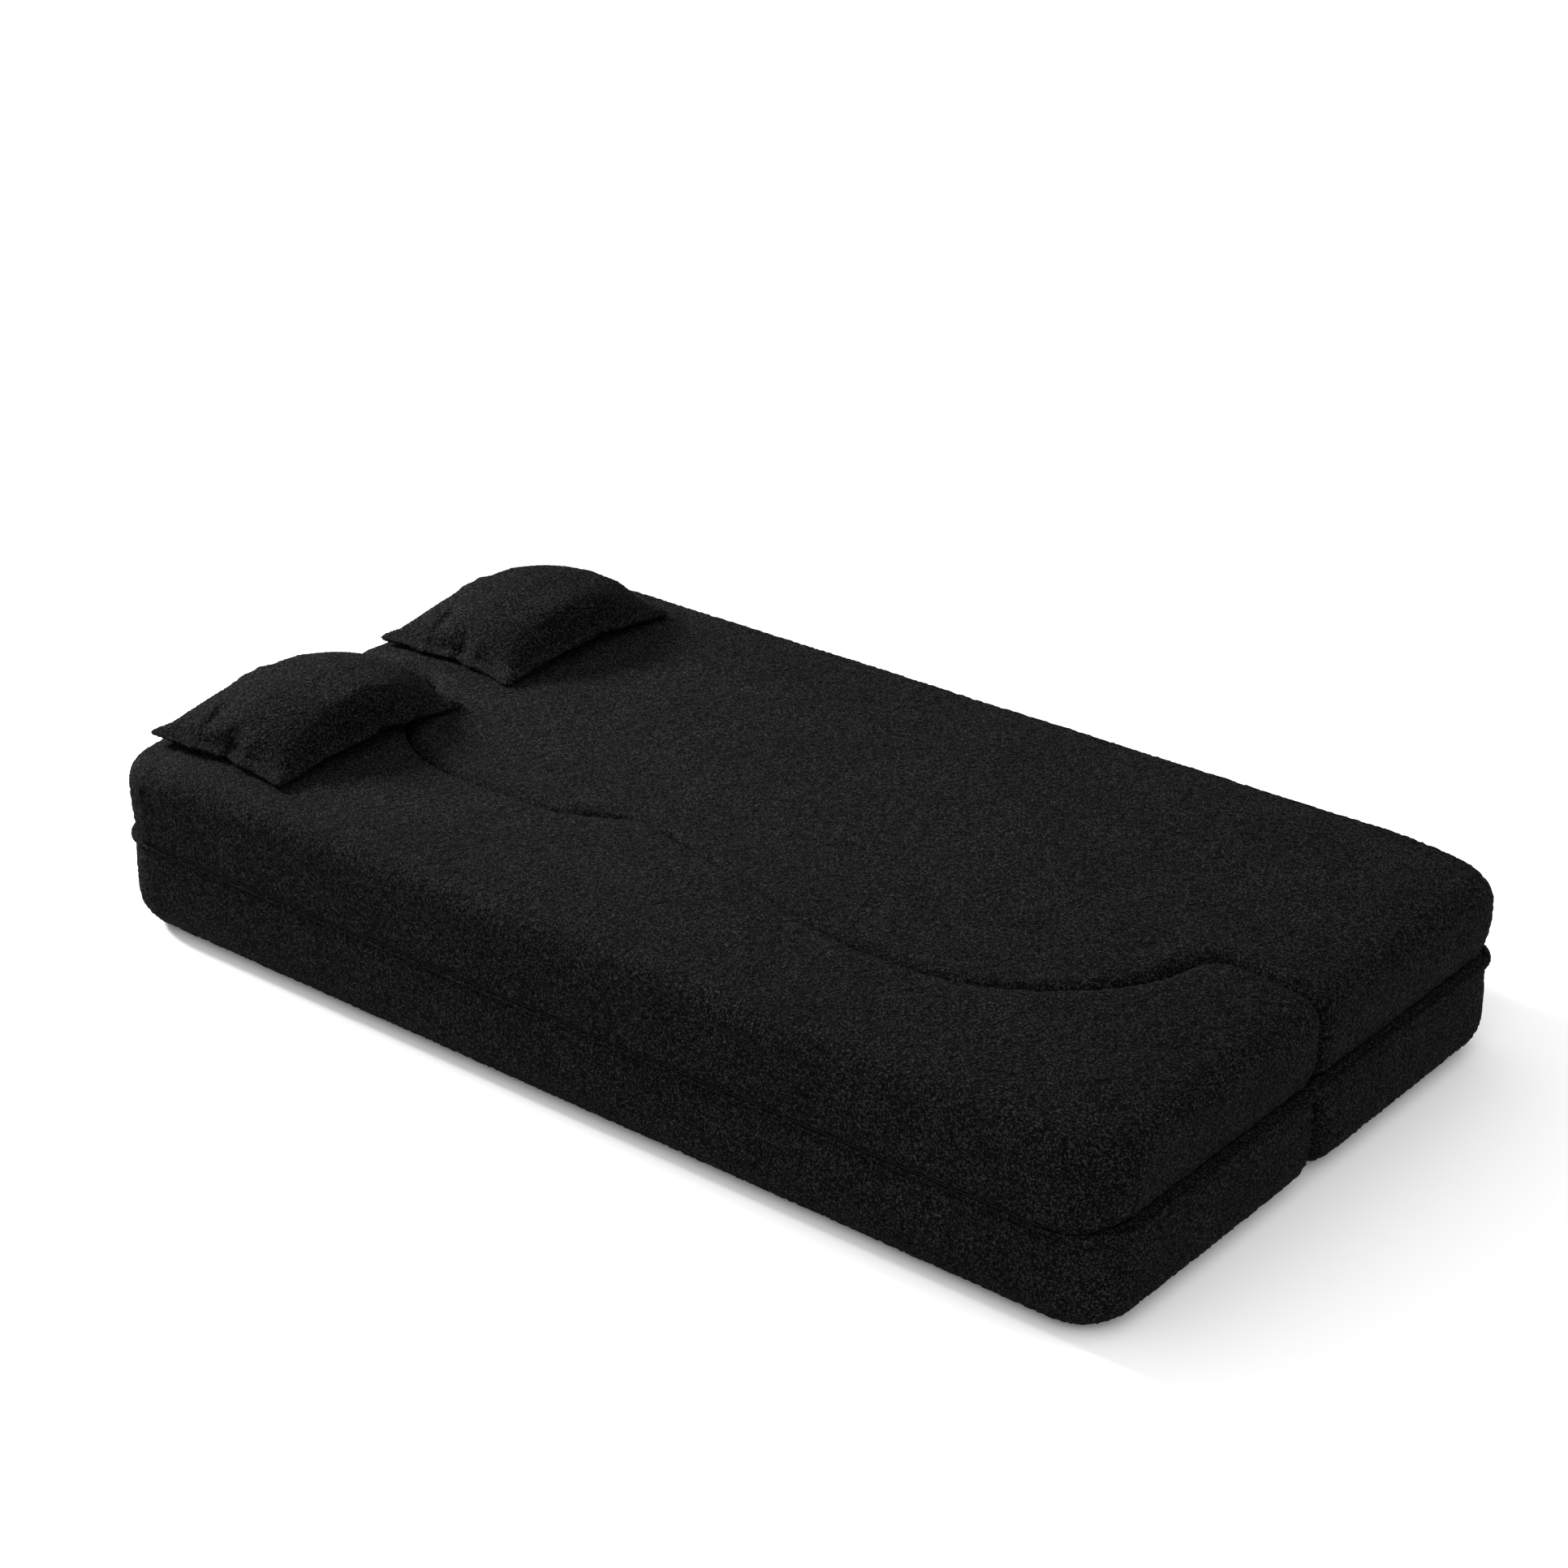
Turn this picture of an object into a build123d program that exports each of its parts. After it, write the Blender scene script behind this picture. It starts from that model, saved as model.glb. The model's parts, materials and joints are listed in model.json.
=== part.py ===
from build123d import *
import math
import os

# A two-layer futon mattress: a split lower layer, a sheet and a welt round its top edge,
# and two upper cushions that meet along a wavy line. The near upper cushion is a wing
# that folds out over the near long edge. Two loose pillows lie at the head.
# Head at -X, foot at +X, near side at -Y, floor at Z = 0. All sizes are in mm.

# Overall sizes
LENGTH = 2000
WIDTH = 1116
HEIGHT = 318
CROWN = 6
CORNER_RADIUS = 92
JOINT_HEIGHT = 160
CLEARANCE = 0.3

# Cushions: cover wall with its sewn-in fibre wrap, and edge rounds
COVER_WALL = 12
SPLIT_GAP = 5
BOTTOM_ROUND = 60
LEDGE_ROUND = 10
GROOVE_ROUND = 24
TOP_ROUND = 30
LOWER_SPLIT_CORNER = 66
UPPER_SPLIT_CORNER = 42

# Wavy meeting line of the upper cushions, from head to foot: straight ends, corners and rounds
HEAD_SPLIT = 0.111 * LENGTH
HEAD_BEND_ROUND = 48
BAY_1_START = (-0.336 * LENGTH, -262)
BAY_1_START_ROUND = 310
BAY_1_END = (-0.135 * LENGTH, -265)
BAY_1_END_ROUND = 150
CREST = (-0.0625 * LENGTH, -195)
CREST_ROUND = 60
BAY_2_START = (0.18 * LENGTH, -318)
BAY_2_START_ROUND = 400
BAY_2_END = (0.3675 * LENGTH, -304)
BAY_2_END_ROUND = 310
FOOT_SPLIT = 0.096 * LENGTH
FOOT_BEND_ROUND = 48

# Sheet between the layers, welt round its edge and the tapes that fold round the welt
SHEET_THICKNESS = 2
WELT_RADIUS = 5
WELT_OFFSET = 1
TAPE_THICKNESS = 1.5
TAPE_START_ANGLE = 20
TAPE_END_ANGLE = 100
TAPE_END_MARGIN = 10

# Plain panels let into the undersides
PANEL_MARGIN = 76
PANEL_CORNER = 30
LINING_WAVE_MARGIN = 28

# Zips, let into the head end of each cushion
ZIP_LENGTH = 300
ZIP_OFFSET = 265
ZIP_TAPE_WIDTH = 30
ZIP_TAPE_THICKNESS = 1
COIL_WIDTH = 6
COIL_HEIGHT = 1.8
ZIP_CHANNEL_DEPTH = 9
ZIP_END_MARGIN = 40
LOWER_ZIP_HEIGHT = 100
UPPER_ZIP_HEIGHT = 230

# Zip sliders and their pull tabs
SLIDER_LENGTH = 14
SLIDER_WIDTH = 12
SLIDER_ROUND = 2
SLIDER_PLATE = 1.7
EAR_THICKNESS = 1
EAR_LENGTH = 3.4
BAR_RADIUS = 0.7
EYE_WALL = 0.6
TAB_LENGTH = 26
TAB_WIDTH = 4.8
TAB_THICKNESS = 1.4

# Pillows: overall outline, place, heights under and over the seam, and how they round off
PILLOW_DEPTH = 300
PILLOW_LENGTH = 430
PILLOW_HEAD_MARGIN = 50
PILLOW_Y = 265
PILLOW_UNDER = 26
PILLOW_OVER = 76
PILLOW_UNDER_RUN = 70
PILLOW_OVER_RUN = 98
PILLOW_DRAW = 12
PILLOW_BULGE = 3
PILLOW_CORNER = 22
PILLOW_WALL = 4
FLANGE_WIDTH = 18
FLANGE_THICKNESS = 4
PILLOW_ANGLES = (20, 40, 60, 75, 90)

# Places worked out from the sizes
HEAD_X = -LENGTH / 2
HEAD_BEND = (HEAD_X + HEAD_SPLIT, 0)
FOOT_BEND = (LENGTH / 2 - FOOT_SPLIT, 0)
PILLOW_X = HEAD_X + PILLOW_HEAD_MARGIN + PILLOW_DEPTH / 2
LOWER_TOP = JOINT_HEIGHT - SHEET_THICKNESS / 2 - CLEARANCE
UPPER_BOTTOM = JOINT_HEIGHT + SHEET_THICKNESS / 2 + CLEARANCE
FOAM_INSET = COVER_WALL + CLEARANCE
HINGE_Y = WIDTH / 2 + WELT_OFFSET
TAPE_BACK = CLEARANCE - ZIP_CHANNEL_DEPTH
TAPE_FRONT = TAPE_BACK + ZIP_TAPE_THICKNESS
COIL_FRONT = TAPE_FRONT + COIL_HEIGHT
SLIDER_FRONT = COIL_FRONT + CLEARANCE + SLIDER_PLATE
EYE_RADIUS = BAR_RADIUS + CLEARANCE + EYE_WALL
BAR_HEIGHT = SLIDER_FRONT + CLEARANCE + EYE_RADIUS
BAR_X = (EAR_LENGTH - SLIDER_LENGTH) / 2
SLIDER_REST = ZIP_END_MARGIN - ZIP_LENGTH / 2


def rounded_path(points, rounds):
    """Edges through the points, each inner corner rounded by its own radius."""
    edges = []
    start = Vector(*points[0])
    for before, corner, after, radius in zip(points, points[1:], points[2:], rounds):
        corner = Vector(*corner)
        back = (Vector(*before) - corner).normalized()
        ahead = (Vector(*after) - corner).normalized()
        half_angle = math.radians(back.get_angle(ahead)) / 2
        reach = radius / math.tan(half_angle)
        middle = (back + ahead).normalized() * (radius / math.sin(half_angle) - radius)
        arc_start = corner + back * reach
        arc_end = corner + ahead * reach
        edges.append(Line(start, arc_start))
        edges.append(ThreePointArc(arc_start, corner + middle, arc_end))
        start = arc_end
    edges.append(Line(start, Vector(*points[-1])))
    return edges


def wave_region(side):
    """Everything on one side of the wavy line: side -1 is near, side 1 is far."""
    end_x = LENGTH
    end_y = side * WIDTH
    points = [(-end_x, 0), HEAD_BEND, BAY_1_START, BAY_1_END, CREST, BAY_2_START, BAY_2_END,
              FOOT_BEND, (end_x, 0)]
    rounds = [HEAD_BEND_ROUND, BAY_1_START_ROUND, BAY_1_END_ROUND, CREST_ROUND,
              BAY_2_START_ROUND, BAY_2_END_ROUND, FOOT_BEND_ROUND]
    edges = rounded_path(points, rounds)
    edges += [Line((end_x, 0), (end_x, end_y)), Line((end_x, end_y), (-end_x, end_y)),
              Line((-end_x, end_y), (-end_x, 0))]
    return make_face(Wire(edges))


def half_region(side):
    """Everything on one side of the straight middle line."""
    return Pos(0, side * WIDTH / 2) * Rectangle(2 * LENGTH, WIDTH)


def cushion_plan(region, split_corner):
    """Outline of one cushion: the mattress outline cut back to one side of the split."""
    mattress = RectangleRounded(LENGTH, WIDTH, CORNER_RADIUS)
    plan = mattress & offset(region, -SPLIT_GAP / 2)
    split_corners = [v for v in plan.vertices()
                     if abs(v.Y) < CORNER_RADIUS and abs(v.X) > LENGTH / 2 - 1]
    return fillet(split_corners, split_corner)


def crown_height(y):
    """Height of the crowned top at a place across the mattress."""
    return HEIGHT - CROWN * (2 * y / WIDTH) ** 2


def crown_block(inset):
    """Room under the crowned top, longer and wider than the mattress."""
    reach = WIDTH
    side = crown_height(reach) - inset
    top = ThreePointArc((-reach, side), (0, HEIGHT - inset), (reach, side))
    walls = Polyline((reach, side), (reach, 0), (-reach, 0), (-reach, side))
    return extrude(Plane.YZ * make_face([top, walls]), LENGTH, both=True)


def lower_block(plan, inset):
    """Lower cushion, set in from its outside by the inset."""
    bottom = inset
    block = Pos(0, 0, bottom) * extrude(offset(plan, -inset), LOWER_TOP - inset - bottom)
    block = fillet(block.edges().group_by(Axis.Z)[0], BOTTOM_ROUND - inset)
    if inset < LEDGE_ROUND:
        block = fillet(block.edges().group_by(Axis.Z)[-1], LEDGE_ROUND - inset)
    return block


def upper_block(plan, inset):
    """Upper cushion with its crowned top, set in from its outside by the inset."""
    bottom = UPPER_BOTTOM + inset
    block = Pos(0, 0, bottom) * extrude(offset(plan, -inset), HEIGHT - bottom)
    block &= crown_block(inset)
    block = fillet(block.edges().group_by(Axis.Z)[0], GROOVE_ROUND - inset)
    top_edges = [e for e in block.edges() if e.bounding_box().min.Z > (bottom + HEIGHT) / 2]
    return fillet(top_edges, TOP_ROUND - inset)


def panel(side, inner_y, bottom, extra):
    """Flat panel of an underside, from inner_y out to the margin, grown by the extra."""
    outer_y = WIDTH / 2 - PANEL_MARGIN
    outline = RectangleRounded(LENGTH - 2 * PANEL_MARGIN + 2 * extra,
                               outer_y - inner_y + 2 * extra, PANEL_CORNER + extra)
    centre = Pos(0, side * (outer_y + inner_y) / 2, bottom)
    return centre * extrude(outline, COVER_WALL)


def zip_plane(side, height):
    """Frame of a zip on the head end: x along the zip to the middle, z out of the face."""
    return Plane((HEAD_X, side * ZIP_OFFSET, height), x_dir=(0, -side, 0), z_dir=(-1, 0, 0))


def slab(length, width, bottom, top):
    """Flat block centred on a zip, between two heights from the head-end face."""
    return Pos(0, 0, (bottom + top) / 2) * Box(length, width, top - bottom)


def zip_channel():
    """Room that a zip takes out of the cover's wall."""
    width = ZIP_TAPE_WIDTH + 2 * CLEARANCE
    return slab(ZIP_LENGTH + 2 * CLEARANCE, width, -ZIP_CHANNEL_DEPTH, ZIP_CHANNEL_DEPTH)


def zip_strip():
    """Woven tape and the closed coil along its middle."""
    tape = slab(ZIP_LENGTH, ZIP_TAPE_WIDTH, TAPE_BACK, TAPE_FRONT)
    coil = slab(ZIP_LENGTH, COIL_WIDTH, TAPE_FRONT, COIL_FRONT)
    return tape + fillet(coil.edges().filter_by(Axis.X).group_by(Axis.Z)[-1], COIL_HEIGHT / 3)


def zip_slider():
    """Slider that straddles the coil, with two ears and the bar for its pull tab."""
    body = slab(SLIDER_LENGTH, SLIDER_WIDTH, TAPE_FRONT + CLEARANCE, SLIDER_FRONT)
    body = fillet(body.edges().filter_by(Axis.Z), SLIDER_ROUND)
    body -= slab(2 * SLIDER_LENGTH, COIL_WIDTH + 2 * CLEARANCE, TAPE_BACK, COIL_FRONT + CLEARANCE)
    for side in (-1, 1):
        ear_y = side * (TAB_WIDTH / 2 + CLEARANCE + EAR_THICKNESS / 2)
        ear = slab(EAR_LENGTH, EAR_THICKNESS, SLIDER_FRONT, BAR_HEIGHT + BAR_RADIUS)
        body += Pos(BAR_X, ear_y) * ear
    bar_length = TAB_WIDTH + 2 * CLEARANCE + 2 * EAR_THICKNESS
    return body + Pos(BAR_X, 0, BAR_HEIGHT) * Rot(90) * Cylinder(BAR_RADIUS, bar_length)


def pull_tab():
    """Flat tab with an eye round the slider's bar."""
    middle = Pos(BAR_X, 0, BAR_HEIGHT)
    plate = Pos(TAB_LENGTH / 2) * Box(TAB_LENGTH, TAB_WIDTH, TAB_THICKNESS)
    plate = fillet(plate.edges().filter_by(Axis.Z).group_by(Axis.X)[-1], TAB_WIDTH / 2 - CLEARANCE)
    eye = plate + Rot(90) * Cylinder(EYE_RADIUS, TAB_WIDTH)
    return middle * (eye - Rot(90) * Cylinder(BAR_RADIUS + CLEARANCE, 2 * TAB_WIDTH))


def tape_strip(side):
    """Tape that folds round the welt along one long edge."""
    inner = WELT_RADIUS + CLEARANCE
    start, end = TAPE_START_ANGLE, TAPE_END_ANGLE
    outer_arc = CenterArc((0, 0), inner + TAPE_THICKNESS, start, end - start)
    inner_arc = CenterArc((0, 0), inner, start, end - start)
    section = make_face([outer_arc, inner_arc, Line(outer_arc @ 0, inner_arc @ 0),
                         Line(outer_arc @ 1, inner_arc @ 1)])
    length = LENGTH - 2 * CORNER_RADIUS - 2 * TAPE_END_MARGIN
    frame = Plane((0, side * HINGE_Y, JOINT_HEIGHT), x_dir=(0, -side, 0), z_dir=(-side, 0, 0))
    return extrude(frame * section, length / 2, both=True)


def edge_ring():
    """Round welt that follows the edge of the sheet all the way round."""
    grow = 2 * WELT_OFFSET
    path = RectangleRounded(LENGTH + grow, WIDTH + grow, CORNER_RADIUS + WELT_OFFSET).wire()
    path = Pos(0, 0, JOINT_HEIGHT) * path
    profile = Plane(origin=path @ 0, z_dir=path % 0) * Circle(WELT_RADIUS)
    return sweep(profile, path)


def pillow_section(half_x, half_y, draw, corner, height):
    """Outline of a pillow at one height, its sides drawn in between rounded corners."""
    x, y, r = half_x, half_y, corner
    k = r * (1 - math.sqrt(0.5))
    edges = [
        ThreePointArc((r - x, -y), (0, draw - y), (x - r, -y)),
        ThreePointArc((x - r, -y), (x - k, k - y), (x, r - y)),
        ThreePointArc((x, r - y), (x - draw, 0), (x, y - r)),
        ThreePointArc((x, y - r), (x - k, y - k), (x - r, y)),
        ThreePointArc((x - r, y), (0, y - draw), (r - x, y)),
        ThreePointArc((r - x, y), (k - x, y - k), (-x, y - r)),
        ThreePointArc((-x, y - r), (draw - x, 0), (-x, r - y)),
        ThreePointArc((-x, r - y), (k - x, k - y), (r - x, -y)),
    ]
    return Pos(0, 0, height) * make_face(Wire(edges))


def pillow_half(inset, rise, run):
    """Half of a pillow's body, from its seam up by the rise, rounding off over the run."""
    half_x = PILLOW_DEPTH / 2 - FLANGE_WIDTH - inset
    half_y = PILLOW_LENGTH / 2 - FLANGE_WIDTH - inset
    sections = [pillow_section(half_x, half_y, PILLOW_DRAW, PILLOW_CORNER, 0)]
    for angle in PILLOW_ANGLES:
        height = (rise - inset) * math.sin(math.radians(angle))
        step = (run - inset) * (1 - math.cos(math.radians(angle)))
        draw = PILLOW_DRAW * math.cos(math.radians(angle)) - PILLOW_BULGE * angle / 90
        sections.append(pillow_section(half_x - step, half_y - step, draw, PILLOW_CORNER, height))
    return loft(sections)


def pillow_body(inset):
    """Crowned body of a pillow about its seam, set in by the inset."""
    over = pillow_half(inset, PILLOW_OVER, PILLOW_OVER_RUN)
    under = pillow_half(inset, PILLOW_UNDER, PILLOW_UNDER_RUN)
    return over + mirror(under, Plane.XY)


def pillow_flange():
    """Flat sewn edge round a pillow's seam."""
    outline = pillow_section(PILLOW_DEPTH / 2, PILLOW_LENGTH / 2, PILLOW_DRAW, PILLOW_CORNER, 0)
    return extrude(outline, FLANGE_THICKNESS / 2, both=True)


def pillow_place(side):
    """Place of a pillow's seam plane, its underside resting on the crowned top."""
    contact_y = PILLOW_Y - (PILLOW_LENGTH / 2 - FLANGE_WIDTH - PILLOW_UNDER_RUN)
    return Pos(PILLOW_X, side * PILLOW_Y, crown_height(contact_y) + CLEARANCE + PILLOW_UNDER)


def cushion_set(name, plan, block, panel_name, panel_inner_y, panel_bottom, side, zip_height):
    """One cushion: its cover, foam, underside panel, zip, slider and pull tab."""
    frame = zip_plane(side, zip_height)
    cover = block(plan, 0) - block(plan, COVER_WALL)
    cover -= panel(side, panel_inner_y, panel_bottom, CLEARANCE)
    cover -= frame * zip_channel()
    return {
        name + "_cover": cover,
        name + "_foam": block(plan, FOAM_INSET),
        panel_name: panel(side, panel_inner_y, panel_bottom, 0),
        name + "_zip": frame * zip_strip(),
        name + "_zip_slider": frame * Pos(SLIDER_REST) * zip_slider(),
        name + "_zip_pull": frame * Pos(SLIDER_REST) * pull_tab(),
    }


def pillow_set(name, side):
    """One pillow: its flanged cover and its filling."""
    place = pillow_place(side)
    cover = pillow_body(0) + pillow_flange() - pillow_body(PILLOW_WALL)
    return {
        name + "_cover": place * cover,
        name + "_filling": place * pillow_body(PILLOW_WALL + CLEARANCE),
    }


def build():
    """Every piece of the mattress by its name."""
    pieces = {}
    wave_depth = -min(BAY_1_START[1], BAY_1_END[1], BAY_2_START[1], BAY_2_END[1])
    lining_inner = {-1: wave_depth + SPLIT_GAP / 2 + LINING_WAVE_MARGIN, 1: PANEL_MARGIN}
    for name, side in (("near", -1), ("far", 1)):
        lower_plan = cushion_plan(half_region(side), LOWER_SPLIT_CORNER)
        pieces |= cushion_set(name + "_lower", lower_plan, lower_block, name + "_grip_panel",
                              PANEL_MARGIN, 0, side, LOWER_ZIP_HEIGHT)
        upper_plan = cushion_plan(wave_region(side), UPPER_SPLIT_CORNER)
        pieces |= cushion_set(name + "_upper", upper_plan, upper_block, name + "_lining_panel",
                              lining_inner[side], UPPER_BOTTOM, side, UPPER_ZIP_HEIGHT)
        pieces[name + "_hinge_tape"] = tape_strip(side)
        pieces |= pillow_set(name + "_pillow", side)
    sheet_edge = 2 * (WELT_RADIUS + CLEARANCE - WELT_OFFSET)
    sheet = RectangleRounded(LENGTH - sheet_edge, WIDTH - sheet_edge, CORNER_RADIUS - sheet_edge / 2)
    sheet_bottom = JOINT_HEIGHT - SHEET_THICKNESS / 2
    pieces["hinge_sheet"] = Pos(0, 0, sheet_bottom) * extrude(sheet, SHEET_THICKNESS)
    pieces["edge_welt"] = edge_ring()
    return pieces


if __name__ == "__main__":
    os.makedirs("parts", exist_ok=True)
    for name, solid in build().items():
        solid.label = name
        export_step(solid, f"parts/{name}.step")
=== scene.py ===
import json
import math

import bpy
import numpy as np
from bpy.props import FloatProperty, FloatVectorProperty, IntProperty, PointerProperty
from mathutils import Matrix, Vector, kdtree, noise


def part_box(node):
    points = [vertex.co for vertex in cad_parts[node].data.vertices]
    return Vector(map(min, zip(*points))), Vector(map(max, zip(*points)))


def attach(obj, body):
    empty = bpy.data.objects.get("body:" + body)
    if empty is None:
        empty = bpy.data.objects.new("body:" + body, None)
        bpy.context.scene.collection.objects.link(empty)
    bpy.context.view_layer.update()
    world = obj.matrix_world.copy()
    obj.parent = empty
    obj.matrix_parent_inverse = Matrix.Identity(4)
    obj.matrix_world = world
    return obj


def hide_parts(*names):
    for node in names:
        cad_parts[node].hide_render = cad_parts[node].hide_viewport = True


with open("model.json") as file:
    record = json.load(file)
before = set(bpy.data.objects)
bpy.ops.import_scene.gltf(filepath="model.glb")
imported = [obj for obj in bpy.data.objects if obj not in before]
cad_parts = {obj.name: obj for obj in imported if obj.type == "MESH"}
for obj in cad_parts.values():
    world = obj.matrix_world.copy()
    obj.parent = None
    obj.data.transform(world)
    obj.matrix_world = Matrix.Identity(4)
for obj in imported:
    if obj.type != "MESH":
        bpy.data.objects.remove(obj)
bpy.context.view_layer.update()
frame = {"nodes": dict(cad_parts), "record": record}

bl_info = {
    "name": "Futon mattress",
    "version": (1, 0, 0),
    "blender": (4, 5, 0),
    "location": "View3D > Sidebar > Futon",
    "description": "Dresses the futon's frame with bouclé cushions, pillows, welt, zips and a studio",
    "category": "Object",
}

# The frame's own places and sizes, in metres
HALF_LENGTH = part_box("far_lower_cover")[1].x
HALF_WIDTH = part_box("far_lower_cover")[1].y
LOWER_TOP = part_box("far_lower_cover")[1].z
UPPER_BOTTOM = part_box("far_upper_cover")[0].z
UPPER_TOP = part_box("far_upper_cover")[1].z
COVER_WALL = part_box("far_lower_foam")[0].z
WELT_LOW, WELT_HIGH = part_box("edge_welt")
WELT_RADIUS = (WELT_HIGH.z - WELT_LOW.z) / 2
JOINT_HEIGHT = (WELT_HIGH.z + WELT_LOW.z) / 2
WELT_OFFSET = WELT_HIGH.x - WELT_RADIUS - HALF_LENGTH
BODY_OF = {node: body for body, nodes in frame["record"]["behaviour"]["bodies"].items()
           for node in nodes}
SIDES = {"near": -1, "far": 1}
ZIPS = ("near_lower_zip", "far_lower_zip", "near_upper_zip", "far_upper_zip")
# Seeds of the random shapes, to which the near side adds 0 and the far side 1
SEEDS = {"upper waves": 1, "lower waves": 4, "sheet": 9, "upper pile": 11, "lower pile": 21,
         "welt pile": 31, "pillow pile": 41, "flange": 51}

# Cushions: how deep an outer wall's shaping reaches, and what a side wall loses of the soft waves
WALL_DEPTH, WALL_SKIN, OUTER_SKIN = 0.03, 0.01, 0.004
SIDE_CALM = 0.7
WAVE_FADE = 0.05
CORNER_REACH = 0.22
GROOVE_DEPTH = 0.12
FLOOR_CLEARANCE = 0.0004
# Heights above the upper cushions' bottom and below their top between which the top's shaping sets in
ROLL_FROM, ROLL_FULL = 0.05, 0.025
# How far sideways a wall faces where the sewn side begins, and where it is fully sewn
SEWN_FROM, SEWN_FULL = 0.35, 0.97
# Squareness of the outer walls' edges, and how far past a round its squaring reaches, in radii
EDGE_SQUARENESS = 6
EDGE_LIMIT, SPLIT_LIMIT = 1.15, 1.2
# Lips of the wavy line: where along the mattress they shut, open again and end, and how square they are
SHUT_FROM, SHUT_TO, LIP_END = (-0.17, -0.05), (0.42, 0.25), (0.80, 0.70)
LIP_SPARE = 0.004
UPRIGHT = 0.2
END_CLOSE = 0.55
LIP_SQUARENESS, SHUT_SQUARENESS = 2.6, 16
LIP_SHARPNESS = {"near": 2.4, "far": -0.3}
# Middle split: rounds of the corners that are squared up, and how square they get
UPPER_SPLIT_ROUND, LOWER_SPLIT_ROUND = 0.042, 0.066
UPPER_SPLIT_SQUARENESS = {"near": 2.6, "far": 4}
LOWER_SPLIT_SQUARENESS = 4
SPLIT_GAP = 0.0025

# Welt, and how far inside the outline and how high above the joint the points of its facing lie
WELT_VOXEL = 0.0024
WELT_FLATTENING = 0.35
WELT_SETBACK = 0.0015
WELT_PILE = 0.0006
FACING_THICKNESS = 0.0016
FACING_TURN = math.radians(75)
FACING_BEND_POINTS, FACING_STRAIGHT_POINTS = 28, 240
FACING_PROFILE = ((0.0, 0.003), (0.003, 0.0042), (0.007, 0.006), (0.011, 0.0075), (0.015, 0.0082),
                  (0.018, 0.007), (0.021, 0.0048), (0.025, 0.0022), (0.032, 0.0012), (0.044, 0.001))
# Hinge tapes, with the angles round the welt in degrees, and the sheet between the layers
TAPE_THICKNESS = 0.0012
TAPE_CLEARANCE = 0.0011
TAPE_MIDDLE, TAPE_REACH = 40, 35
SHEET_THICKNESS = 0.0011
SHEET_RIPPLE, SHEET_RIPPLE_SIZE = 0.0004, 0.12
# Panels: width and depth of each step of their edge, from the rim inwards: hem, border and stitched line
PANEL_SEAM = ((0.0015, 0), (0.007, 0), (0.0012, -0.0010), (0.0012, 0.0010))
PANEL_SOFT, PANEL_REACH = 0.006, 0.02
PANEL_FLAT_ANGLE, PANEL_CREASE_ANGLE = math.radians(1), math.radians(35)
DOWNWARD = -0.9
# Zips: soft edge and spare length of their placket, and how far in front of the frame's back the tape is
PLACKET_SOFT, PLACKET_SPARE = 0.008, 0.005
ZIP_TAPE_DEPTH = 0.001

# Pillows: the crease's place is in shares of the half size
PILLOW_SLAB = 0.006
UNDER_DEPTH, UNDER_FLATNESS = 1.8, 0.4
FOOT_START = 0.2
HEAD_EDGE = 0.6
PINCH_PLACE, PINCH_SIZE = (0.48, 0.80), (0.010, 0.030)
FLANGE_OVERLAP = 0.008
FLANGE_RIPPLE, FLANGE_RIPPLE_SIZE = 0.003, 0.05

# Cloths, where each unit of a weave's fineness is about 3.2 threads per metre
LOOPS_PER_METRE = 285
LOOP_BEND = 0.004
LOOP_HEIGHT = 0.0035
FINENESS = {"lining": 700, "grip cloth": 600, "hinge tape": 900, "zip tape": 1400}
WEAVE_HEIGHT, ZIP_WEAVE_HEIGHT = 0.0004, 0.0002
CREASE_ANGLE = math.radians(40)

# Studio: floor in metres, camera frame in millimetres
FLOOR_SIZE = 60
SENSOR_WIDTH = 36


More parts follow.
